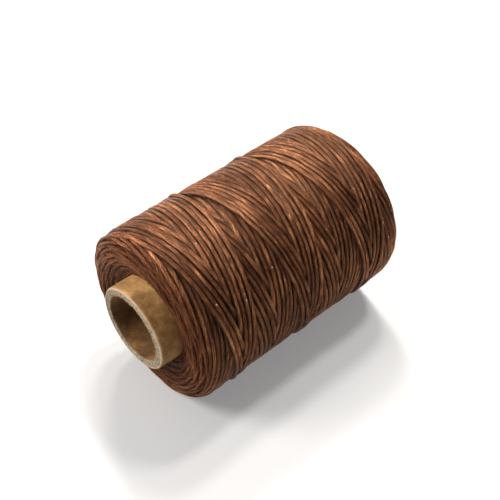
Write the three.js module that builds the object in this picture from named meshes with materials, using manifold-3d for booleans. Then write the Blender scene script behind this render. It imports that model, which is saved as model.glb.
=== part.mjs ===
// Waxed thread spool: one long waxed thread, cross-wound on a laminated paper tube.
// Units are millimetres, +Z is up.  The spool lies on its side with its axis along X.
// The origin is on the surface it rests on, straight below the middle of the spool.
import * as THREE from "three";
import { mergeVertices } from "three/addons/utils/BufferGeometryUtils.js";
import Module from "manifold-3d";

const wasm = await Module();
wasm.setup();

// ---- driving dimensions ----
const WINDING_RADIUS = 25; // full spool, over the thread
const WINDING_LENGTH = 73.6; // between the planes that the two shoulders run up to
const ROUND_SHOULDER_DEPTH = 4.8; // along the axis at the -X end, side to end face
const SQUARE_SHOULDER_DEPTH = 3.1; // the same at the +X end
const SHOULDER_EXPONENT = 2.5; // 2 is an ellipse, larger is squarer
const HOLLOW_DEPTH = 3.4; // how far the end face dips in where it meets the tube
const HOLLOW_WIDTH = 8; // radial width of that dip
const HOLLOW_EXPONENT = 1.6; // 1 is a cone, larger falls away faster beside the tube
const REST_SETTLE = 0.25; // how far the soft thread is pressed flat where it rests

const TUBE_LENGTH = 80;
const TUBE_OUTER_RADIUS = 12.25;
const TUBE_BORE_RADIUS = 9.5;
const COVER_THICKNESS = 0.3; // outer kraft wrap
const LINER_THICKNESS = 0.3; // inner kraft wrap
const BOARD_PLIES = 5; // grey board between the two wraps
const GLUE_GAP = 0.03; // between neighbouring layers of paper
const THREAD_GAP = 0.05; // between the tube and the first turns of thread

const SEGMENTS = 72; // facets round the axis, the same on every layer so that they nest
const FACE_STEPS = 12; // points along each end face of the winding

const AXIS_HEIGHT = WINDING_RADIUS - REST_SETTLE;

// ---- materials ----
const MATERIALS = {
  thread: { color: 0x784529, roughness: 0.45, metalness: 0 },
  kraft: { color: 0xa9834f, roughness: 0.85, metalness: 0 },
  board: { color: 0xa99c86, roughness: 0.95, metalness: 0 },
  liner: { color: 0x8a6436, roughness: 0.9, metalness: 0 },
};

const spool = new THREE.Group();

// Adds one coaxial piece: a geometry turned about its own Y axis is laid along X.
function addCoaxial(name, material, geometry) {
  const mesh = new THREE.Mesh(geometry, new THREE.MeshStandardMaterial(MATERIALS[material]));
  mesh.name = name;
  mesh.rotation.z = -Math.PI / 2;
  mesh.position.z = AXIS_HEIGHT;
  spool.add(mesh);
}

// A profile of [radius, position along the axis] points, turned into a closed ring.
function ring(profile) {
  const points = profile.map(([radius, along]) => new THREE.Vector2(radius, along));
  points.push(points[0].clone());
  return new THREE.LatheGeometry(points, SEGMENTS);
}

// ---- paper tube, from the bore outwards ----
function tubeLayer(innerRadius, outerRadius) {
  const half = TUBE_LENGTH / 2;
  return ring([
    [innerRadius, -half],
    [outerRadius, -half],
    [outerRadius, half],
    [innerRadius, half],
  ]);
}

function addTube() {
  const wall = TUBE_OUTER_RADIUS - TUBE_BORE_RADIUS;
  const glue = GLUE_GAP * (BOARD_PLIES + 1);
  const boardThickness = (wall - LINER_THICKNESS - COVER_THICKNESS - glue) / BOARD_PLIES;
  let radius = TUBE_BORE_RADIUS;
  addCoaxial("core_inner_liner", "liner", tubeLayer(radius, radius + LINER_THICKNESS));
  radius += LINER_THICKNESS + GLUE_GAP;
  for (let ply = 1; ply <= BOARD_PLIES; ply += 1) {
    addCoaxial(`core_board_ply_${ply}`, "board", tubeLayer(radius, radius + boardThickness));
    radius += boardThickness + GLUE_GAP;
  }
  addCoaxial("core_outer_cover", "kraft", tubeLayer(radius, TUBE_OUTER_RADIUS));
}

// ---- thread winding ----
// One end face, from the tube out to the straight side, at the end that the sign gives.
// A superellipse makes the shoulder, and the face dips in beside the tube.
function endFace(sign, shoulderDepth) {
  const innerRadius = TUBE_OUTER_RADIUS + THREAD_GAP;
  const shoulderStart = WINDING_LENGTH / 2 - shoulderDepth;
  const points = [];
  for (let step = 0; step <= FACE_STEPS; step += 1) {
    const angle = (step / FACE_STEPS) * (Math.PI / 2);
    const outwards = Math.sin(angle) ** (2 / SHOULDER_EXPONENT);
    const endwards = Math.max(Math.cos(angle), 0) ** (2 / SHOULDER_EXPONENT);
    const radius = innerRadius + outwards * (WINDING_RADIUS - innerRadius);
    const beside = Math.max(1 - (radius - innerRadius) / HOLLOW_WIDTH, 0);
    const dip = HOLLOW_DEPTH * beside ** HOLLOW_EXPONENT;
    points.push([radius, sign * (shoulderStart + shoulderDepth * endwards - dip)]);
  }
  return points;
}

function toManifold(geometry) {
  const bare = geometry.clone();
  bare.deleteAttribute("normal");
  bare.deleteAttribute("uv");
  const merged = mergeVertices(bare, 1e-4);
  const vertProperties = new Float32Array(merged.attributes.position.array);
  const triVerts = new Uint32Array(merged.index.array);
  return new wasm.Manifold(new wasm.Mesh({ numProp: 3, vertProperties, triVerts }));
}

function toGeometry(solid) {
  const mesh = solid.getMesh();
  const geometry = new THREE.BufferGeometry();
  geometry.setAttribute("position", new THREE.BufferAttribute(mesh.vertProperties, 3));
  geometry.setIndex(new THREE.BufferAttribute(mesh.triVerts, 1));
  geometry.computeVertexNormals();
  return geometry;
}

// The wound body, with the narrow flat it has settled to where it lies on the table.
function addWinding() {
  const roundEnd = endFace(-1, ROUND_SHOULDER_DEPTH);
  const squareEnd = endFace(1, SQUARE_SHOULDER_DEPTH);
  const body = toManifold(ring([...roundEnd, ...squareEnd.reverse()]));
  const table = new THREE.BoxGeometry(WINDING_RADIUS * 4, WINDING_LENGTH * 2, WINDING_RADIUS);
  table.translate(0, 0, -AXIS_HEIGHT - WINDING_RADIUS / 2);
  addCoaxial("thread_winding", "thread", toGeometry(body.subtract(toManifold(table))));
}

addTube();
addWinding();

export default spool;
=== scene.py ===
"""Waxed thread spool: the looks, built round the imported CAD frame.

The thread is laid turn by turn, the way a winder lays it: a guide travels from end to
end while the spool turns, and every strand rests on the strands already there.
Lengths are millimetres while a shape is worked out, and metres once it is a mesh.
"""
import math

import bmesh
import bpy
import numpy as np
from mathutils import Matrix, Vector


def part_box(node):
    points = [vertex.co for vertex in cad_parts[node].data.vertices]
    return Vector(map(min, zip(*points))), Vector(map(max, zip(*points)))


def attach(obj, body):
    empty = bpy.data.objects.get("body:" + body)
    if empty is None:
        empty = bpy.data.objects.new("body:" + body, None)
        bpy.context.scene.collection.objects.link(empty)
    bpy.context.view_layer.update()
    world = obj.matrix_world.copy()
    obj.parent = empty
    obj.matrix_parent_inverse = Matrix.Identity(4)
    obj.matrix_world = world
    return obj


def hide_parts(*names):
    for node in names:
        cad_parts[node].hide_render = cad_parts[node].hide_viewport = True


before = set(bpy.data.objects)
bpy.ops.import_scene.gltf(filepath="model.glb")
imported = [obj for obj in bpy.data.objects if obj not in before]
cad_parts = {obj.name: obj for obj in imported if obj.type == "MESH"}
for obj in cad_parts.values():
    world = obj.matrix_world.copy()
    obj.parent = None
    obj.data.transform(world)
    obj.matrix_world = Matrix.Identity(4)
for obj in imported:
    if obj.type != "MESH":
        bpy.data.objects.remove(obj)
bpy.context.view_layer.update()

MM = 0.001
rng = np.random.default_rng(7)


def node_box(node):
    low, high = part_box(node)
    return np.array(low) / MM, np.array(high) / MM


# ---------------------------------------------------------------- sizes from the frame
def outer_radius(node):
    low, high = node_box(node)
    return (high[1] - low[1]) / 2


WINDING_RADIUS = outer_radius("thread_winding")
TUBE_RADIUS = outer_radius("core_outer_cover")
TUBE_LOW, TUBE_HIGH = node_box("core_outer_cover")
AXIS_Z = (TUBE_LOW[2] + TUBE_HIGH[2]) / 2
HALF_TUBE = TUBE_HIGH[0]

# ---------------------------------------------------------------- the thread
STRAND_HALF_WIDTH = 0.60
STRAND_HALF_THICKNESS = 0.46

# ---------------------------------------------------------------- how the winder lays it
STEPS_PER_TURN = 720
STEP = 2 * math.pi / STEPS_PER_TURN
LEAD = 24.0  # along the axis for each turn
PITCH = LEAD / (2 * math.pi)  # along the axis for each radian
TURNS_PER_STROKE = 3
SHIFT = 23  # degrees the pattern moves on in each cycle of two strokes
STROKE_STEPS = TURNS_PER_STROKE * STEPS_PER_TURN + SHIFT
STROKES_PER_COVER = 2 * 360 // SHIFT
COVERS = 8
STROKES = COVERS * STROKES_PER_COVER
LAST_TURN_ROUND = 319.0  # degrees where the newest cycle turns back at the +X end
SHARP_HALF_STROKE = LEAD * STROKE_STEPS / STEPS_PER_TURN / 2
EARLY_TURN_WIDTH = 0.6  # radians a stroke of the early covers takes to turn round
SETTLED_BEFORE_END = 60  # strokes; the last ones all follow the same sharp guide path

# the end faces of the wound body: where the shoulder starts and how deep it is
SHOULDERS = {-1: (32.0, 4.8), 1: (33.7, 3.1)}
SHOULDER_EXPONENT = 2.5
HOLLOW_DEPTH = 3.4
HOLLOW_WIDTH = 8.0
HOLLOW_EXPONENT = 1.6
EDGE_DROP = {-1: 0.95, 1: 0.6}  # a stroke turns round this far below the side of the body
EDGE_REACH = 3.0
END_FACE_FROM = 32.2  # along the axis, where the sides of the strands come into view
COVER_CREEP = 0.3  # covers stop up to this far short of the face
STROKE_CREEP = 0.25  # and each stroke up to this much more

# the height map
CELL = 0.2
MAP_HALF = 38.0
MAP_CELLS = int(round(2 * MAP_HALF / CELL)) + 1
COLUMNS = np.linspace(-MAP_HALF, MAP_HALF, MAP_CELLS)
VALLEY_CELLS = 9  # how far to each side a strand's neighbours count
STRAND_CELLS = math.ceil(STRAND_HALF_WIDTH / CELL)  # cells under half a strand
TAUT_REACH = 40  # steps a taut strand can bridge on each side
SAG = 1.5  # 1 is a strand pulled straight over a gap
FIRMNESS = 0.5  # 1 rests on the highest point under it, 0 beds in to the mean
SMOOTH_STEPS = 5  # a strand is too stiff to follow anything shorter
JOIN_STEPS = 12  # over which a stroke meets the end of the one before
SLIP_REACH = 0.35  # how far to each side a strand feels the slope it lies on
SLIP_SHARE, SLIP_LIMIT = 0.25, 0.12
ROLL_SHARE, ROLL_LIMIT = 0.6, 0.5  # a strand rolls over with the slope under it
EDGE_SHARE = 0.9  # of the half width, where the strand's two edges touch down
TUBE_ROUGHNESS = 0.05  # of the bare surface the first strokes lie on


def face_at(radius, end):
    """How far out along the axis the end face lies at a radius, at the -1 or +1 end."""
    start, depth = SHOULDERS[end]
    out = np.clip((radius - TUBE_RADIUS) / (WINDING_RADIUS - TUBE_RADIUS), 0, 1)
    shoulder = depth * (1 - out**SHOULDER_EXPONENT) ** (1 / SHOULDER_EXPONENT)
    beside = np.clip(1 - (radius - TUBE_RADIUS) / HOLLOW_WIDTH, 0, 1)
    return start + shoulder - HOLLOW_DEPTH * beside**HOLLOW_EXPONENT


def face_lean(radius, end):
    """How far the end face's outward direction leans from radial towards the axis."""
    rise = (face_at(radius + 0.3, end) - face_at(radius - 0.3, end)) / 0.6
    return np.clip(np.arctan2(1, -rise), 0, math.radians(78))


def sines(count, start, shortest, longest, amount, waves=7):
    """A smooth wander, worked out along the whole thread so that strokes join."""
    at = np.arange(start, start + count)
    total = np.zeros(count)
    for length, phase in zip(
        np.geomspace(shortest, longest, waves), np.linspace(0.3, 5.9, waves) * 7.1
    ):
        total += np.sin(2 * math.pi * at / length + phase)
    return amount * total / math.sqrt(waves / 2)


def taut(support, radius):
    """The lowest line above the support that a taut strand on a round body can take."""
    shifts = np.arange(-TAUT_REACH, TAUT_REACH + 1)
    bow = (shifts * STEP) ** 2 * radius / 2 * SAG
    padded = np.pad(support, TAUT_REACH, mode="edge")
    count = len(support)
    high = np.max([padded[k : k + count] - b for k, b in enumerate(bow)], axis=0)
    padded = np.pad(high, TAUT_REACH, mode="edge")
    return np.min([padded[k : k + count] + b for k, b in enumerate(bow)], axis=0)


def smooth(values, sigma):
    reach = int(3 * sigma)
    kernel = np.exp(-0.5 * (np.arange(-reach, reach + 1) / sigma) ** 2)
    kernel /= kernel.sum()
    return np.convolve(np.pad(values, reach, mode="edge"), kernel, mode="valid")


def read_map(heights, turn, x):
    at = (x + MAP_HALF) / CELL
    cell = np.clip(at.astype(int), 0, MAP_CELLS - 2)
    part = at - cell
    return heights[turn, cell] * (1 - part) + heights[turn, cell + 1] * part


def guide_path(order, creep):
    """Where along the axis one stroke lies at each step, and the reach of its two ends."""
    way = 1 if order % 2 == 0 else -1
    radius = TUBE_RADIUS + (WINDING_RADIUS - TUBE_RADIUS) * (order + 1) / STROKES
    reach = {}
    for end in (-1, 1):
        reach[end] = float(face_at(radius - EDGE_DROP[end], end)) - STRAND_HALF_THICKNESS
    early = np.clip((STROKES - SETTLED_BEFORE_END - order) / STROKES_PER_COVER, 0, 1)
    ends, widths = [], []
    for end, short in zip((-way, way), creep[order : order + 2]):
        stop = reach[end] - short
        sharp = SHARP_HALF_STROKE * (1 - early) + (reach[end] + EARLY_TURN_WIDTH * PITCH) * early
        ends.append(stop)
        widths.append(max((sharp - stop) / PITCH, 0.25))
    i = np.arange(STROKE_STEPS) + 0.5
    a = i * STEP
    b = (STROKE_STEPS - i) * STEP
    pace = a / np.hypot(a, widths[0]) * b / np.hypot(b, widths[1])
    travel = np.cumsum(pace)
    x = way * (travel / travel[-1] * (ends[0] + ends[1]) - ends[0])
    start = order * STROKE_STEPS
    x += sines(STROKE_STEPS, start, 37, 411, 0.05)
    x += sines(STROKE_STEPS, start, 700, 5200, 0.07)
    return x, np.where(x < 0, reach[-1], reach[1]), radius


def support_under(heights, turn, x):
    """How high the middle of a strand rests on what lies under its width."""
    under = np.array(
        [
            read_map(heights, turn, x + d * STRAND_HALF_WIDTH)
            + STRAND_HALF_THICKNESS * math.sqrt(1 - d * d)
            for d in np.linspace(-EDGE_SHARE, EDGE_SHARE, 9)
        ]
    )
    return FIRMNESS * under.max(axis=0) + (1 - FIRMNESS) * under.mean(axis=0)


def rest_line(support, tail, radius):
    """The height a strand takes up, joined smoothly to the tail of the stroke before."""
    if tail is None:
        return smooth(taut(support, radius), SMOOTH_STEPS)
    centre = smooth(taut(np.concatenate([tail, support]), radius), SMOOTH_STEPS)
    join = len(tail)
    step_at_join = tail[-1] - centre[join]
    return centre[join:] + step_at_join * np.exp(-np.arange(len(support)) / JOIN_STEPS)


def slip(heights, turn, x):
    """How far a strand slides towards the lower side before it settles."""
    tilt = read_map(heights, turn, x + SLIP_REACH) - read_map(heights, turn, x - SLIP_REACH)
    return smooth(np.clip(SLIP_SHARE * tilt, -SLIP_LIMIT, SLIP_LIMIT), 9)


def rolled(heights, turn, x):
    """How far a strand rolls over, in radians, with the slope between its two edges."""
    left = read_map(heights, turn, x - EDGE_SHARE * STRAND_HALF_WIDTH)
    right = read_map(heights, turn, x + EDGE_SHARE * STRAND_HALF_WIDTH)
    lean = np.arctan2(right - left, 2 * EDGE_SHARE * STRAND_HALF_WIDTH)
    return smooth(np.clip(lean * ROLL_SHARE, -ROLL_LIMIT, ROLL_LIMIT), 6)


def lay_down(heights, turn, x, centre):
    """Raises the height map to the top of a new strand."""
    first = np.rint((x + MAP_HALF) / CELL).astype(int)
    for k in range(-STRAND_CELLS, STRAND_CELLS + 1):
        cell = np.clip(first + k, 0, MAP_CELLS - 1)
        d = (COLUMNS[cell] - x) / STRAND_HALF_WIDTH
        inside = np.abs(d) < 1
        top = centre + STRAND_HALF_THICKNESS * np.sqrt(np.clip(1 - d * d, 0, 1))
        where = (turn[inside], cell[inside])
        heights[where] = np.maximum(heights[where], top[inside])


def wind():
    """Lays every stroke in order and returns one dict of arrays for each."""
    heights = rng.normal(0, TUBE_ROUGHNESS, (STEPS_PER_TURN, MAP_CELLS))
    body = np.abs(COLUMNS) < SHOULDERS[-1][0] - 4
    base = 0.0
    end_step = int(round(LAST_TURN_ROUND * STEPS_PER_TURN / 360))
    offset = (end_step - (STROKES - 1) * STROKE_STEPS) % STEPS_PER_TURN
    cover_creep = np.repeat(rng.random(COVERS + 1), STROKES_PER_COVER)[: STROKES + 1]
    creep = COVER_CREEP * cover_creep + STROKE_CREEP * rng.random(STROKES + 1)
    level = np.zeros(MAP_CELLS)
    strokes = []
    tail = None
    for order in range(STROKES):
        x, reach, radius = guide_path(order, creep)
        start = order * STROKE_STEPS
        turn = (np.arange(STROKE_STEPS) + start + offset) % STEPS_PER_TURN
        x = x - slip(heights, turn, x)
        centre = rest_line(support_under(heights, turn, x), tail, radius)
        roll = rolled(heights, turn, x)
        lay_down(heights, turn, x, centre)
        growth = heights.mean(axis=0)
        heights -= growth
        top = centre + STRAND_HALF_THICKNESS + np.interp(x, COLUMNS, level)
        strokes.append(
            dict(x=x, turn=turn, centre=centre, roll=roll, base=base, reach=reach, order=order,
                 top=top)
        )
        level += growth
        tail = centre[-2 * TAUT_REACH :] - growth[body].mean()
        base += growth[body].mean()
    surface = heights + level
    around = [np.roll(surface, k, axis=1) for k in range(-VALLEY_CELLS, VALLEY_CELLS + 1)]
    ridges = np.max(around, axis=0)
    for stroke in strokes:
        stroke["depth"] = read_map(ridges, stroke["turn"], stroke["x"]) - stroke["top"]
    return strokes


# ---------------------------------------------------------------- meshes
def make_mesh(name, points, faces, material, uv=None, depth=None):
    """A smooth mesh from an array of points in millimetres and one of equal faces."""
    mesh = bpy.data.meshes.new(name)
    faces = np.asarray(faces, dtype=np.int32)
    points = np.asarray(points, dtype=np.float64) * MM
    mesh.vertices.add(len(points))
    mesh.vertices.foreach_set("co", points.astype(np.float32).ravel())
    mesh.loops.add(faces.size)
    mesh.loops.foreach_set("vertex_index", faces.ravel())
    mesh.polygons.add(len(faces))
    starts = np.arange(0, faces.size, faces.shape[1], dtype=np.int32)
    mesh.polygons.foreach_set("loop_start", starts)
    mesh.polygons.foreach_set("use_smooth", np.ones(len(faces), dtype=bool))
    mesh.update(calc_edges=True)
    if uv is not None:
        layer = mesh.uv_layers.new(name="lay")
        layer.data.foreach_set("uv", np.asarray(uv, dtype=np.float32).ravel())
    if depth is not None:
        below = mesh.attributes.new("depth", "FLOAT", "POINT")
        below.data.foreach_set("value", np.asarray(depth, dtype=np.float32))
    mesh.materials.append(material)
    piece = bpy.data.objects.new(name, mesh)
    bpy.context.scene.collection.objects.link(piece)
    return piece


def own(piece, slot, *nodes):
    """The piece rides on the spool and stands for its CAD nodes; slot is not used."""
    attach(piece, "root")
    if nodes:
        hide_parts(*nodes)
    return piece


class Sweep:
    """Collects closed tubes, each given as rings of points, into one mesh."""

    def __init__(self, sides):
        self.sides = sides
        self.points, self.faces, self.uv, self.depth = [], [], [], []
        self.total = 0

    def add(self, rings, along, depth):
        """Adds rings of shape (count, sides, 3), each with a place along the tube
        and a depth below the strands beside it."""
        sides, count = self.sides, len(rings)
        grid = self.total + np.arange(count * sides).reshape(count, sides)
        after = np.roll(grid, -1, axis=1)
        walls = np.stack([grid[:-1], after[:-1], after[1:], grid[1:]], axis=-1)
        caps = []
        for k in range(sides // 2 - 1):
            there = sides - 1 - k
            caps.append(grid[0, [k, there, there - 1, k + 1]])
            caps.append(grid[-1, [k, k + 1, there - 1, there]])
        uv = np.empty((count - 1, sides, 4, 2))
        low = np.arange(sides) / sides
        uv[..., [0, 3], 0] = low[:, None]
        uv[..., [1, 2], 0] = low[:, None] + 1 / sides
        uv[..., [0, 1], 1] = along[:-1, None, None]
        uv[..., [2, 3], 1] = along[1:, None, None]
        self.points.append(rings.reshape(-1, 3))
        self.depth.append(np.repeat(depth, sides))
        self.faces += [walls.reshape(-1, 4), np.array(caps)]
        self.uv += [uv.reshape(-1, 2), np.zeros((len(caps) * 4, 2))]
        self.total += count * sides

    def piece(self, name, material):
        points = np.concatenate(self.points)
        points[:, 2] = np.maximum(points[:, 2], FLOOR_GAP)
        return make_mesh(name, points, np.concatenate(self.faces), material,
                         np.concatenate(self.uv), np.concatenate(self.depth))


def round_axis(angle, radius, x):
    """Points at an angle from the top towards -Y, a radius and a place along the axis."""
    return np.stack(
        [x + 0 * angle, -np.sin(angle) * radius, AXIS_Z + np.cos(angle) * radius], axis=-1
    )


def lathe(name, profile, sides, material, shift=None):
    """Turns a closed profile of (radius, x) points round the axis.

    shift gives an array of changes to radius and x for each angle and profile point."""
    profile = np.asarray(profile, dtype=float)
    angle = (2 * math.pi * np.arange(sides) / sides)[:, None]
    radius = np.broadcast_to(profile[:, 0], (sides, len(profile)))
    x = np.broadcast_to(profile[:, 1], (sides, len(profile)))
    if shift is not None:
        radius_change, x_change = shift(angle, radius, x)
        radius = radius + radius_change
        x = x + x_change
    grid = np.arange(sides * len(profile)).reshape(sides, len(profile))
    on = np.roll(grid, -1, axis=0)
    faces = np.stack([grid, on, np.roll(on, -1, axis=1), np.roll(grid, -1, axis=1)], axis=-1)
    points = round_axis(angle, radius, x).reshape(-1, 3)
    return make_mesh(name, points, faces.reshape(-1, 4), material)


# ---------------------------------------------------------------- strands
FLOOR_GAP = 0.03
SECTION_SIDES = 10
MESH_STEP = 5  # winder steps between two rings of a strand's mesh
SHOWN_STROKES = 48  # newest strokes, which show along the whole side
# older strokes show only this far in from their ends: (how many strokes back, depth)
END_DEPTHS = ((110, 7.0), (STROKES, 3.0))
FINISHED_AT = 190  # steps of the last stroke left out: the thread's end is tucked there
TUCK_STEPS = 70
TUCK_DEPTH = 1.3
PRESSED = 0.9  # share of the laid height differences left once the winding has settled
RIDGE = 0.9  # no strand stays higher than this above the mean
SURFACE_SHARE = 62  # percent of the last cover's thread that lies inside the nominal radius
SINK = 0.5  # how deep the hidden ends of a shown stretch go
SINK_STEPS = 26
FAR_SWELL = 0.5  # the winding is this much fuller at its far end
LEAN_REACH = 2.2  # a strand turns onto the end face over this last stretch
LEAN_SHARE = 0.1
WINDING_PIECES = 8
UV_PER_MM = 0.01


def settled(heights):
    """Laid heights once the winding has settled: ridges are pressed down the most."""
    return PRESSED * RIDGE * np.tanh(heights / RIDGE)


def stroke_line(stroke, lowest, stretch):
    """The radius and lean of one stroke's centre line, and which of its steps can be seen."""
    age = STROKES - 1 - stroke["order"]
    x, reach = stroke["x"], stroke["reach"]
    near_end = np.clip((np.abs(x) - reach + EDGE_REACH) / EDGE_REACH, 0, 1.2)
    radius = lowest + stretch * (stroke["base"] + settled(stroke["centre"]))
    drop = np.where(x < 0, EDGE_DROP[-1], EDGE_DROP[1])
    radius += FAR_SWELL * np.clip(x / SHOULDERS[1][0], 0, 1) * (radius / WINDING_RADIUS) ** 2
    radius -= drop * near_end**2 * np.clip((radius - lowest) / drop, 0, 1)
    onto_face = np.clip((np.abs(x) - reach + LEAN_REACH) / LEAN_REACH, 0, 1)
    lean = np.where(x < 0, -face_lean(radius, -1), face_lean(radius, 1)) * LEAN_SHARE
    lean = lean * onto_face - stroke["roll"] * (1 - onto_face)
    shown = radius > TUBE_RADIUS + 0.5 * STRAND_HALF_THICKNESS
    if age >= SHOWN_STROKES:
        depth = next(depth for back, depth in END_DEPTHS if age < back)
        shown &= np.abs(x) > reach - depth
    return dict(x=x, radius=radius, angle=stroke["turn"] * STEP, lean=lean, shown=shown,
                depth=stroke["depth"])


def strand_runs(strokes):
    """Every stretch of the one long thread that can be seen, as arrays of mesh steps."""
    lowest = TUBE_RADIUS + STRAND_HALF_THICKNESS
    laid = [s["base"] + settled(s["centre"]) for s in strokes[-STROKES_PER_COVER:]]
    surface = np.percentile(np.concatenate(laid), SURFACE_SHARE)
    stretch = (WINDING_RADIUS - STRAND_HALF_THICKNESS - lowest) / surface
    lines = [stroke_line(s, lowest, stretch) for s in strokes]
    thread = {key: np.concatenate([line[key] for line in lines]) for key in lines[0]}
    count = len(thread["x"]) - FINISHED_AT
    tucked = np.clip((np.arange(len(thread["x"])) - count + TUCK_STEPS) / TUCK_STEPS, 0, 1)
    thread["radius"] -= TUCK_DEPTH * tucked**1.5
    thread["shown"][count:] = False
    shown = np.concatenate([[0], thread["shown"].astype(int), [0]])
    runs = []
    for first, last in np.flatnonzero(np.diff(shown)).reshape(-1, 2):
        if last - first < 3 * MESH_STEP:
            continue
        pick = np.unique(np.append(np.arange(first, last, MESH_STEP), last - 1))
        hidden = 1 - np.clip(np.minimum(pick - first, last - 1 - pick) / SINK_STEPS, 0, 1)
        run = {key: thread[key][pick] for key in ("x", "radius", "angle", "lean", "depth")}
        run["radius"] = run["radius"] - SINK * hidden**2
        run["along"] = pick
        runs.append(run)
    return runs


def add_strand(sweep, run):
    """Sweeps the flat oval section of the thread along one run."""
    corner = 2 * math.pi * np.arange(SECTION_SIDES) / SECTION_SIDES
    across, through = np.sin(corner)[None, :, None], -np.cos(corner)[None, :, None]
    sin, cos = np.sin(run["angle"]), np.cos(run["angle"])
    outward = np.stack([np.zeros_like(sin), -sin, cos], axis=1)
    centre = round_axis(run["angle"], run["radius"], run["x"])
    tangent = np.gradient(centre, axis=0)
    tangent /= np.linalg.norm(tangent, axis=1, keepdims=True)
    wobble = 0.16 * np.sin(run["along"] / 83.0) + 0.1 * np.sin(run["along"] / 37.0)
    lean = (run["lean"] + wobble)[:, None]
    flat = outward * np.cos(lean) + np.array([1.0, 0.0, 0.0]) * np.sin(lean)
    flat -= tangent * (flat * tangent).sum(axis=1, keepdims=True)
    flat /= np.linalg.norm(flat, axis=1, keepdims=True)
    beside = np.cross(tangent, flat)
    swell = 1 + 0.06 * np.sin(run["along"] / 31.0) + 0.05 * np.sin(run["along"] / 213.0)
    wide = (STRAND_HALF_WIDTH * swell)[:, None, None]
    thick = (STRAND_HALF_THICKNESS / swell)[:, None, None]
    rings = centre[:, None] + beside[:, None] * across * wide + flat[:, None] * through * thick
    sweep.add(rings, run["along"] * STEP * WINDING_RADIUS * UV_PER_MM, run["depth"])


# ---------------------------------------------------------------- materials
class Tree:
    """A short way to write a material's nodes."""

    def __init__(self, name):
        self.material = bpy.data.materials.new(name)
        self.material.use_nodes = True
        self.nodes = self.material.node_tree.nodes
        self.links = self.material.node_tree.links
        self.shader = self.nodes["Principled BSDF"]

    def add(self, kind, settings=None, **inputs):
        node = self.nodes.new(kind)
        for key, value in (settings or {}).items():
            setattr(node, key, value)
        for key, value in inputs.items():
            self.put(node, key.replace("_", " "), value)
        return node

    def put(self, node, socket, value):
        target = node.inputs[int(socket)] if socket.isdigit() else node.inputs[socket]
        if hasattr(value, "is_output"):
            self.links.new(value, target)
        else:
            target.default_value = value

    def math(self, operation, a, b=0.0, clamp=False):
        node = self.nodes.new("ShaderNodeMath")
        node.operation = operation
        node.use_clamp = clamp
        self.put(node, "0", a)
        self.put(node, "1", b)
        return node.outputs[0]

    def ramp(self, value, *stops):
        node = self.nodes.new("ShaderNodeValToRGB")
        self.put(node, "Fac", value)
        elements = node.color_ramp.elements
        while len(elements) < len(stops):
            elements.new(0.5)
        for element, (position, colour) in zip(elements, stops):
            element.position = position
            element.color = (*colour, 1)
        return node.outputs["Color"]

    def noise(self, place, scale, detail, roughness=0.5):
        node = self.add("ShaderNodeTexNoise", Vector=place, Scale=scale, Detail=detail,
                        Roughness=roughness)
        return node.outputs["Fac"]

    def bump(self, height, strength, distance):
        node = self.add("ShaderNodeBump", Height=height, Strength=strength, Distance=distance)
        self.put(self.shader, "Normal", node.outputs[0])

    def mix(self, share, a, b, blend="MIX"):
        node = self.nodes.new("ShaderNodeMix")
        node.data_type = "RGBA"
        node.blend_type = blend
        for index, value in ((0, share), (6, a), (7, b)):
            if hasattr(value, "is_output"):
                self.links.new(value, node.inputs[index])
            else:
                node.inputs[index].default_value = value
        return node.outputs[2]


def srgb(red, green, blue):
    """A colour as seen, 0 to 255, turned into the linear values that nodes hold."""
    return tuple(
        (c / 255 / 12.92) if c <= 10 else ((c / 255 + 0.055) / 1.055) ** 2.4
        for c in (red, green, blue)
    )


def object_place(t):
    return t.add("ShaderNodeTexCoord").outputs["Object"]


TWIST_LENGTH = 26.0  # of thread to one full twist of its filaments
FILAMENTS_ACROSS = 3.6  # noise cells from the middle of a strand to its side
FILAMENT_LENGTH = 3.0
PLIES = 3
METAL_SHARE = 0.65  # a coloured shine: the thread holds no metal
SHINE_TINT = (1.0, 0.56, 0.34, 1)
GROOVE_ROUGHNESS = 0.3


def open_share(t, around, place):
    """1 where a strand faces outwards, falling to 0 in the grooves between strands."""
    crown = t.math("SINE", t.math("MULTIPLY", around, math.pi))
    top = t.ramp(crown, (0.80, (0, 0, 0)), (0.97, (1, 1, 1)))
    # on the two end faces the sides of the strands lie open as well
    from_middle = t.math("ABSOLUTE", t.add("ShaderNodeSeparateXYZ", Vector=place).outputs["X"])
    past = t.math("SUBTRACT", t.math("MULTIPLY", from_middle, 1 / MM), END_FACE_FROM)
    end_face = t.ramp(past, (0.0, (0, 0, 0)), (1.0, (1, 1, 1)))
    flank = t.math("ABSOLUTE", t.math("SINE", t.math("MULTIPLY", around, 2 * math.pi)))
    open_flank = t.ramp(flank, (0.55, (0, 0, 0)), (0.85, (1, 1, 1)))
    return t.math("MAXIMUM", top, t.math("MULTIPLY", end_face, open_flank))


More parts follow.
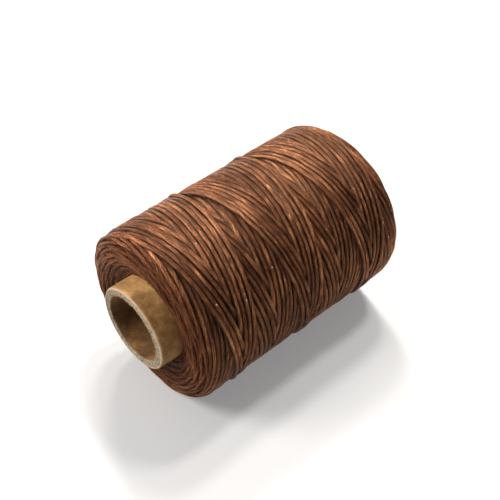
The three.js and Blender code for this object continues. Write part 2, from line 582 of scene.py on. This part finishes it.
def thread_material():
    """Waxed cord: long filaments with a slow twist, golden on top, with shade painted dark into
    the grooves.
    """
    t = Tree("waxed_thread")
    lay = t.add("ShaderNodeUVMap", {"uv_map": "lay"}).outputs["UV"]
    split = t.add("ShaderNodeSeparateXYZ", Vector=lay)
    around, along = split.outputs["X"], split.outputs["Y"]
    turned = t.math("ADD", t.math("MULTIPLY", around, 2 * math.pi),
                    t.math("MULTIPLY", along, 2 * math.pi / (TWIST_LENGTH * UV_PER_MM)))
    rope_at = t.add(
        "ShaderNodeCombineXYZ",
        X=t.math("MULTIPLY", t.math("COSINE", turned), FILAMENTS_ACROSS),
        Y=t.math("MULTIPLY", t.math("SINE", turned), FILAMENTS_ACROSS),
        Z=t.math("MULTIPLY", along, 1 / (FILAMENT_LENGTH * UV_PER_MM)),
    ).outputs[0]
    filaments = t.noise(rope_at, 1.0, 4.0, 0.75)
    dye_at = t.add("ShaderNodeCombineXYZ", X=t.math("MULTIPLY", along, 4.0)).outputs[0]
    dye = t.noise(dye_at, 1.0, 2.0)
    place = object_place(t)
    patches = t.noise(place, 110.0, 3.0)
    wax = t.noise(place, 3200.0, 3.0, 0.6)
    tone = t.math("MULTIPLY", filaments, 0.60)
    tone = t.math("ADD", tone, t.math("MULTIPLY", dye, 0.25))
    tone = t.math("ADD", tone, t.math("MULTIPLY", patches, 0.15))
    colour = t.ramp(
        tone,
        (0.39, srgb(60, 31, 18)),
        (0.50, srgb(118, 70, 44)),
        (0.60, srgb(206, 141, 93)),
    )
    # painted shade: the sides of the strands, which lie in the grooves between them, are
    # darkened
    open_air = open_share(t, around, place)
    colour = t.mix(open_air, (*srgb(12, 5, 3), 1), colour)
    # painted shade: strands that lie deep below the strands beside them are darkened
    depth = t.add("ShaderNodeAttribute", {"attribute_name": "depth"}).outputs["Fac"]
    painted_valley_shade = t.ramp(depth, (0.25, (1, 1, 1)), (0.9, (0.50, 0.40, 0.34)))
    colour = t.mix(1.0, colour, painted_valley_shade, "MULTIPLY")
    # pale flecks where the fine grain peaks: partly wax bloom, partly painted glints
    wax_bloom_and_glints = t.ramp(wax, (0.66, (0, 0, 0)), (0.74, (0.6, 0.6, 0.6)))
    colour = t.mix(wax_bloom_and_glints, colour, (*srgb(214, 180, 142), 1))
    t.put(t.shader, "Base Color", colour)
    gloss = t.math("ADD", 0.08, t.math("MULTIPLY", filaments, 0.34))
    groove = (GROOVE_ROUGHNESS, GROOVE_ROUGHNESS, GROOVE_ROUGHNESS, 1)
    t.put(t.shader, "Roughness", t.mix(open_air, groove, gloss))
    t.shader.inputs["IOR"].default_value = 1.5
    t.shader.inputs["Specular IOR Level"].default_value = 1.0
    t.shader.inputs["Specular Tint"].default_value = SHINE_TINT
    t.put(t.shader, "Metallic", t.math("MULTIPLY", open_air, METAL_SHARE))
    plies = t.math("ABSOLUTE", t.math("SINE", t.math("MULTIPLY", turned, PLIES)))
    relief = t.math("ADD", filaments, t.math("MULTIPLY", plies, 0.22))
    relief = t.math("ADD", relief, t.math("MULTIPLY", wax, 0.4))
    t.bump(relief, 1.0, 0.0005)
    return t.material


def inner_turns_material():
    """The turns deep in the winding: painted dark as shade, with ridges that run round the body.
    """
    t = Tree("inner_turns")
    place = object_place(t)
    ridges = t.add("ShaderNodeTexWave", {"bands_direction": "X"}, Vector=place, Scale=280.0,
                   Distortion=2.0, Detail=2.0).outputs["Fac"]
    dust = t.noise(place, 900.0, 4.0)
    tone = t.math("ADD", t.math("MULTIPLY", ridges, 0.6), t.math("MULTIPLY", dust, 0.4))
    t.put(t.shader, "Base Color", t.ramp(tone, (0.2, srgb(18, 9, 5)), (0.8, srgb(62, 33, 20))))
    t.put(t.shader, "Roughness", t.math("ADD", 0.45, t.math("MULTIPLY", dust, 0.3)))
    t.bump(ridges, 0.8, 0.0003)
    return t.material


def wax_material():
    """Crumbs of wax: pale and grainy, and a little see-through."""
    t = Tree("wax_specks")
    grain = t.noise(object_place(t), 5000.0, 3.0)
    t.put(t.shader, "Base Color",
          t.ramp(grain, (0.3, srgb(205, 180, 150)), (0.7, srgb(246, 236, 220))))
    t.put(t.shader, "Roughness", t.math("ADD", 0.25, t.math("MULTIPLY", grain, 0.3)))
    t.shader.inputs["Subsurface Weight"].default_value = 0.2
    t.shader.inputs["Subsurface Scale"].default_value = 0.0004
    t.bump(grain, 0.5, 0.00005)
    return t.material


def paper_material(name, deep, mid, light, worn):
    """Kraft paper: cloudy stains, fine fibres, and an edge worn pale at the tube's ends."""
    t = Tree(name)
    place = object_place(t)
    clouds = t.noise(place, 130.0, 4.0, 0.6)
    stretch = t.add("ShaderNodeMapping", {"vector_type": "POINT"}, Vector=place)
    stretch.inputs["Scale"].default_value = (1.6, 1.0, 1.0)
    fibres = t.noise(stretch.outputs[0], 700.0, 5.0, 0.7)
    grain = t.noise(place, 4200.0, 3.0, 0.6)
    tone = t.math("ADD", t.math("MULTIPLY", clouds, 0.6), t.math("MULTIPLY", fibres, 0.28))
    tone = t.math("ADD", tone, t.math("MULTIPLY", grain, 0.12))
    colour = t.ramp(tone, (0.38, deep), (0.50, mid), (0.62, light))
    axial = t.add("ShaderNodeSeparateXYZ", Vector=place).outputs["X"]
    from_end = t.math("SUBTRACT", HALF_TUBE * MM, t.math("ABSOLUTE", axial))
    ragged = t.math("ADD", from_end, t.math("MULTIPLY", t.math("SUBTRACT", fibres, 0.5), 0.0012))
    edge = t.ramp(t.math("MULTIPLY", ragged, 1 / MM), (0.08, (1, 1, 1)), (0.5, (0, 0, 0)))
    colour = t.mix(edge, colour, (*worn, 1))
    t.put(t.shader, "Base Color", colour)
    t.put(t.shader, "Roughness", t.math("ADD", 0.55, t.math("MULTIPLY", fibres, 0.3)))
    t.bump(t.math("ADD", fibres, t.math("MULTIPLY", grain, 0.6)), 0.5, 0.00008)
    return t.material


def board_material():
    """Grey board cut across: felted fibres and grit."""
    t = Tree("grey_board")
    place = object_place(t)
    felt = t.noise(place, 1100.0, 6.0, 0.75)
    grit = t.noise(place, 3800.0, 4.0, 0.7)
    tone = t.math("ADD", t.math("MULTIPLY", felt, 0.6), t.math("MULTIPLY", grit, 0.4))
    colour = t.ramp(
        tone, (0.38, srgb(84, 72, 54)), (0.50, srgb(140, 126, 102)), (0.62, srgb(200, 188, 164))
    )
    t.put(t.shader, "Base Color", colour)
    t.put(t.shader, "Roughness", t.math("ADD", 0.8, t.math("MULTIPLY", grit, 0.2)))
    t.bump(tone, 1.0, 0.0004)
    return t.material


def fibre_material():
    """Torn paper fibres: pale and matt, with a fine grain."""
    t = Tree("torn_fibres")
    grain = t.noise(object_place(t), 3000.0, 3.0)
    t.put(t.shader, "Base Color",
          t.ramp(grain, (0.35, srgb(176, 158, 128)), (0.65, srgb(232, 222, 202))))
    t.put(t.shader, "Roughness", t.math("ADD", 0.7, t.math("MULTIPLY", grain, 0.25)))
    return t.material


# painted light: the floor's own glow lightens the shadows on it
FLOOR_GLOW = 0.24


def floor_material():
    """A pale, matt floor that comes out near white; it glows a little, which is painted light
    that lightens the shadows on it.
    """
    t = Tree("floor")
    cloud = t.noise(object_place(t), 4.0, 3.0)
    t.put(t.shader, "Base Color",
          t.ramp(cloud, (0.3, srgb(158, 157, 158)), (0.7, srgb(162, 161, 161))))
    t.shader.inputs["Emission Color"].default_value = (1, 1, 1, 1)
    t.shader.inputs["Emission Strength"].default_value = FLOOR_GLOW
    t.put(t.shader, "Roughness", t.math("ADD", 0.75, t.math("MULTIPLY", cloud, 0.1)))
    return t.material


# ---------------------------------------------------------------- the wound thread
def add_winding(runs, material):
    """Splits the runs, oldest first, into pieces of about the same size."""
    quota = sum(len(run["x"]) for run in runs) / WINDING_PIECES
    number, held, sweep = 1, 0, Sweep(SECTION_SIDES)
    for run in runs:
        if held >= quota * number:
            own(sweep.piece(f"thread_winding_{number}", material), "waxed_thread")
            number, sweep = number + 1, Sweep(SECTION_SIDES)
        add_strand(sweep, run)
        held += len(run["x"])
    last = sweep.piece(f"thread_winding_{number}", material)
    own(last, "waxed_thread", "thread_winding")


def add_inner_turns(material):
    """The older turns as one body just under the visible strands, wavy like wound thread."""
    steps = np.linspace(0, math.pi / 2, 14)
    radii = TUBE_RADIUS + 0.02 + np.sin(steps) ** 0.8 * (WINDING_RADIUS - 2.0 - TUBE_RADIUS)
    profile = [(r, float(face_at(r + 0.9, 1)) - 1.7) for r in radii]
    profile += [(radii[-1], x) for x in np.arange(30, -29, -1.07)]
    profile += [(r, 1.7 - float(face_at(r + 0.9, -1))) for r in reversed(radii)]

    def wave(angle, radius, x):
        high = np.where(radius > TUBE_RADIUS + 1, 0.15, 0)
        return high * np.sin(x * 5.8 + angle * 3) * np.sin(x * 5.8 - angle * 3), 0 * x

    own(lathe("thread_inner_turns", profile, 180, material, wave), "waxed_thread")


# ---------------------------------------------------------------- wax specks
# pale crumbs of wax: (place along the axis, degrees from the top towards the front)
WAX_PLACES = (
    (29, 65), (30.5, 77), (26.5, 102), (20, 54), (-21, -19),
    (-23, 14), (-28, 51), (-20, 59), (-9, 49), (-10, -10),
)
WAX_SIZE = 0.17
DUST_COUNT = 160
DUST_SIZE = 0.06
UNDERSIDE = 35  # degrees each side of the lowest line that stay clean


def top_of_winding(runs):
    """Every mesh point of the strands' centre lines: x, angle in degrees, radius."""
    return np.concatenate(
        [np.stack([r["x"], np.degrees(r["angle"]), r["radius"]], axis=1) for r in runs]
    )


def crumb(points, size):
    """A lump of wax: a small closed ball with its points pushed about."""
    ball = bmesh.new()
    bmesh.ops.create_icosphere(ball, subdivisions=1, radius=1)
    shape = np.array([v.co[:] for v in ball.verts])
    faces = np.array([[v.index for v in f.verts] for f in ball.faces])
    ball.free()
    return shape * rng.uniform(0.7, 1.25, (len(shape), 1)) * size + points, faces


def add_wax_specks(runs, material):
    tops = top_of_winding(runs)
    places = [(x, angle % 360, WAX_SIZE * rng.uniform(0.75, 1.2)) for x, angle in WAX_PLACES]
    for x, angle in zip(rng.uniform(-33, 34, DUST_COUNT), rng.uniform(0, 360, DUST_COUNT)):
        places.append((x, angle, DUST_SIZE * rng.uniform(0.5, 1.5)))
    points, faces, total = [], [], 0
    for x, angle, size in places:
        turn = (tops[:, 1] - angle + 180) % 360 - 180
        apart = np.hypot(tops[:, 0] - x, np.radians(turn) * WINDING_RADIUS)
        near = tops[apart < 0.7]
        if len(near) == 0 or abs(angle - 180) < UNDERSIDE:
            continue
        x, degrees, radius = near[near[:, 2].argmax()]
        at = round_axis(np.radians(degrees), radius + STRAND_HALF_THICKNESS, x)
        shape, sides = crumb(at, size)
        points.append(shape)
        faces.append(sides + total)
        total += len(shape)
    specks = make_mesh("wax_specks", np.concatenate(points), np.concatenate(faces), material)
    own(specks, "waxed_thread")


# ---------------------------------------------------------------- the cardboard tube
PAPER = 0.3
SEAM = 0.02  # between two layers
BORE_RADIUS = outer_radius("core_inner_liner") - PAPER
CRUSH_DEPTH, CRUSH_LENGTH = 0.4, 0.9
WEAR_DEPTH, WEAR_LENGTH = 0.5, 12.0
BEVEL = 0.07
BOARD_PLIES = 5
TUBE_SIDES = 288
END_MARGIN = 0.05  # the ragged ends stay this far inside the tube's nominal length
TORN_INSIDE, TORN_OUTSIDE = 260, 120  # loose fibres at each end


def tube_faults(angle, radius, x):
    """How far the radius is off: rims crushed inwards, the bore worn wider at the back."""
    through = (radius - BORE_RADIUS) / (TUBE_RADIUS - BORE_RADIUS)
    crushed = np.clip(1 - (HALF_TUBE - np.abs(x)) / CRUSH_LENGTH, 0, 1) ** 2
    worn = np.clip(1 - (HALF_TUBE + x) / WEAR_LENGTH, 0, 1)
    backwards = ((1 - np.sin(angle)) / 2) ** 2
    return WEAR_DEPTH * worn * backwards * (1 - through) - CRUSH_DEPTH * crushed * through


def rim_noise(angle, seed, lowest, highest):
    """A closed ragged line round the rim, about -1 to 1."""
    draw = np.random.default_rng(seed)
    total = np.zeros_like(angle)
    for k in range(lowest, highest):
        total = total + draw.normal() * np.cos(k * angle + draw.uniform(0, 2 * math.pi))
    return total / math.sqrt(highest - lowest)


def add_layer(node, name, inner, outer, material, slot, seed, ragged, recess=0.0):
    """One wound layer of the tube; its two ends are cut a little unevenly."""
    half = HALF_TUBE - END_MARGIN - recess
    steps = np.concatenate([np.arange(BEVEL, 1.2, 0.12), np.geomspace(1.3, half, 12)])
    along = np.concatenate([steps - half, half - steps[-2::-1]])
    profile = [(outer, x) for x in along[::-1]]
    profile += [(outer - BEVEL, -half), (inner + BEVEL, -half)]
    profile += [(inner, x) for x in along]
    profile += [(inner + BEVEL, half), (outer - BEVEL, half)]

    def shift(angle, radius, x):
        uneven = np.abs(rim_noise(angle, seed, 2, 60))
        at_end = np.where(np.abs(x) > half - 2 * BEVEL, 1, 0)
        return tube_faults(angle, radius, x), -ragged * at_end * uneven * np.sign(x)

    own(lathe(name, profile, TUBE_SIDES, material, shift), slot, node)


def add_torn_edges(material):
    """Loose paper fibres standing from the cut rims, most of them inside the bore."""
    sweep = Sweep(4)
    corner = 2 * math.pi * np.arange(4) / 4
    for end in (-1, 1):
        for inside in [True] * TORN_INSIDE + [False] * TORN_OUTSIDE:
            angle = rng.uniform(0, 2 * math.pi)
            length = rng.uniform(0.25, 0.9)
            radius = BORE_RADIUS + 0.15 if inside else TUBE_RADIUS - 0.15
            spread = rng.uniform(-1, 1)
            lift = rng.uniform(-0.15, 0.3)
            t = np.linspace(0, 1, 6)
            outward = (-0.35 if inside else 0.12) * length * t**1.5
            angles = angle + spread * length * t / radius
            depth = end * (HALF_TUBE - 0.12 + lift * length * t * (1 - 0.6 * t))
            away = radius + outward + tube_faults(angles, radius, depth)
            path = round_axis(angles, away, depth)
            thick = 0.028 * (1 - 0.8 * t) + 0.004
            side = round_axis(angles, 1.0, 0.0) - np.array([0, 0, AXIS_Z])
            axial = np.array([1.0, 0, 0])
            rings = (
                path[:, None]
                + side[:, None] * np.cos(corner)[None, :, None] * thick[:, None, None]
                + axial * np.sin(corner)[None, :, None] * thick[:, None, None]
            )
            sweep.add(rings, t, 0 * t)
    own(sweep.piece("tube_torn_fibres", material), "grey_board")


def add_tube():
    """The liner, the plies of board and the cover, each a layer with its own cut ends."""
    kraft = paper_material("outer_kraft", srgb(98, 64, 27), srgb(150, 108, 58),
                           srgb(194, 150, 92), srgb(184, 156, 128))
    # painted shade: the lining's kraft is coloured darker than the cover's, for the shade inside
    # the bore
    lining = paper_material("inner_kraft", srgb(66, 42, 16), srgb(106, 71, 32),
                            srgb(150, 106, 54), srgb(172, 150, 118))
    board = board_material()
    first_board = outer_radius("core_inner_liner")
    add_layer("core_inner_liner", "tube_liner", BORE_RADIUS, first_board - SEAM, lining,
              "inner_kraft", 11, 0.45, 0.15)
    inner = first_board
    for k in range(1, BOARD_PLIES + 1):
        outer = outer_radius(f"core_board_ply_{k}")
        add_layer(f"core_board_ply_{k}", f"tube_board_ply_{k}", inner, outer, board,
                  "grey_board", 20 + k, 0.06, 0.05 * (k % 2))
        inner = outer + SEAM
    add_layer("core_outer_cover", "tube_cover", inner, TUBE_RADIUS, kraft,
              "outer_kraft", 41, 0.05)
    add_torn_edges(fibre_material())


# ---------------------------------------------------------------- stage, light and camera
FLOOR_HALF = 3000


def add_stage():
    square = [(-FLOOR_HALF, -FLOOR_HALF, 0), (FLOOR_HALF, -FLOOR_HALF, 0),
              (FLOOR_HALF, FLOOR_HALF, 0), (-FLOOR_HALF, FLOOR_HALF, 0)]
    make_mesh("floor", square, [(0, 1, 2, 3)], floor_material())


# places and sizes of the lamps are in metres, as Blender has them
WARM_WHITE = (1.0, 0.98, 0.95)
LAMPS = (
    ("key", (-0.48, 0.32, 0.58), 0.35, 7.0, WARM_WHITE),
    ("back", (0.0, 0.75, 0.48), 0.7, 1.0, WARM_WHITE),
    ("top", (0.0, -0.05, 0.80), 0.45, 0.2, (1.0, 0.99, 0.97)),
)
STRIP_LEANS = (50, 33, 16, 0)  # degrees each lamp of the strip leans back from overhead
STRIP_X, STRIP_DISTANCE, STRIP_SIZE, STRIP_POWER = 0.36, 0.79, 0.12, 4.4
ROOM_COLOUR = (1.0, 0.98, 0.96, 1)
ROOM_BRIGHT_SIDE = (-0.30, 0.80, 0.52)
ROOM_RANGE = (-0.5, 0.8)  # of how far a direction faces the bright side
ROOM_STRENGTH = (0.05, 0.45)


def area_light(name, position, size, power, colour):
    """A round lamp that points at the middle of the spool."""
    data = bpy.data.lights.new(name, "AREA")
    data.shape = "DISK"
    data.size = size
    data.energy = power
    data.color = colour
    lamp = bpy.data.objects.new(name, data)
    lamp.location = position
    aim = Vector((0, 0, AXIS_Z * MM)) - Vector(position)
    lamp.rotation_euler = aim.to_track_quat("-Z", "Y").to_euler()
    bpy.context.scene.collection.objects.link(lamp)


def add_room():
    """A surround that is bright behind and above, and fades to a dim front."""
    world = bpy.data.worlds.new("studio")
    bpy.context.scene.world = world
    world.use_nodes = True
    nodes, links = world.node_tree.nodes, world.node_tree.links
    background = nodes["Background"]
    direction = nodes.new("ShaderNodeTexCoord").outputs["Generated"]
    facing = nodes.new("ShaderNodeVectorMath")
    facing.operation = "DOT_PRODUCT"
    facing.inputs[1].default_value = ROOM_BRIGHT_SIDE
    links.new(direction, facing.inputs[0])
    ramp = nodes.new("ShaderNodeMapRange")
    ramp.interpolation_type = "SMOOTHSTEP"
    limits = zip(("From Min", "From Max", "To Min", "To Max"), ROOM_RANGE + ROOM_STRENGTH)
    for socket, value in limits:
        ramp.inputs[socket].default_value = value
    links.new(facing.outputs["Value"], ramp.inputs["Value"])
    links.new(ramp.outputs[0], background.inputs["Strength"])
    background.inputs["Color"].default_value = ROOM_COLOUR


def add_lights():
    """A soft key over the left end, and a bent strip of small lamps over the right one,
    which draws a bright line along each strand."""
    for lamp in LAMPS:
        area_light(*lamp)
    for number, lean in enumerate(STRIP_LEANS):
        backwards, up = math.sin(math.radians(lean)), math.cos(math.radians(lean))
        place = (STRIP_X, STRIP_DISTANCE * backwards, STRIP_DISTANCE * up)
        area_light(f"strip_{number}", place, STRIP_SIZE, STRIP_POWER, WARM_WHITE)


AZIMUTH, ELEVATION = math.radians(-42.487), math.radians(43.963)
DISTANCE = 232.42
TARGET = (2.27, 1.16, AXIS_Z + 0.17)
SENSOR, LENS = 36, 58.94


def add_camera():
    target = Vector(TARGET)
    back = Vector(
        (
            math.sin(AZIMUTH) * math.cos(ELEVATION),
            -math.cos(AZIMUTH) * math.cos(ELEVATION),
            math.sin(ELEVATION),
        )
    )
    data = bpy.data.cameras.new("camera")
    data.sensor_width = SENSOR
    data.lens = LENS
    data.clip_start = 0.005
    data.clip_end = 20
    camera = bpy.data.objects.new("camera", data)
    camera.location = (target + back * DISTANCE) * MM
    camera.rotation_euler = back.to_track_quat("Z", "Y").to_euler()
    bpy.context.scene.collection.objects.link(camera)
    bpy.context.scene.camera = camera
    bpy.context.scene.view_settings.view_transform = "Standard"


add_camera()
strokes = wind()
runs = strand_runs(strokes)
add_winding(runs, thread_material())
add_inner_turns(inner_turns_material())
add_wax_specks(runs, wax_material())
add_tube()
add_stage()
add_room()
add_lights()
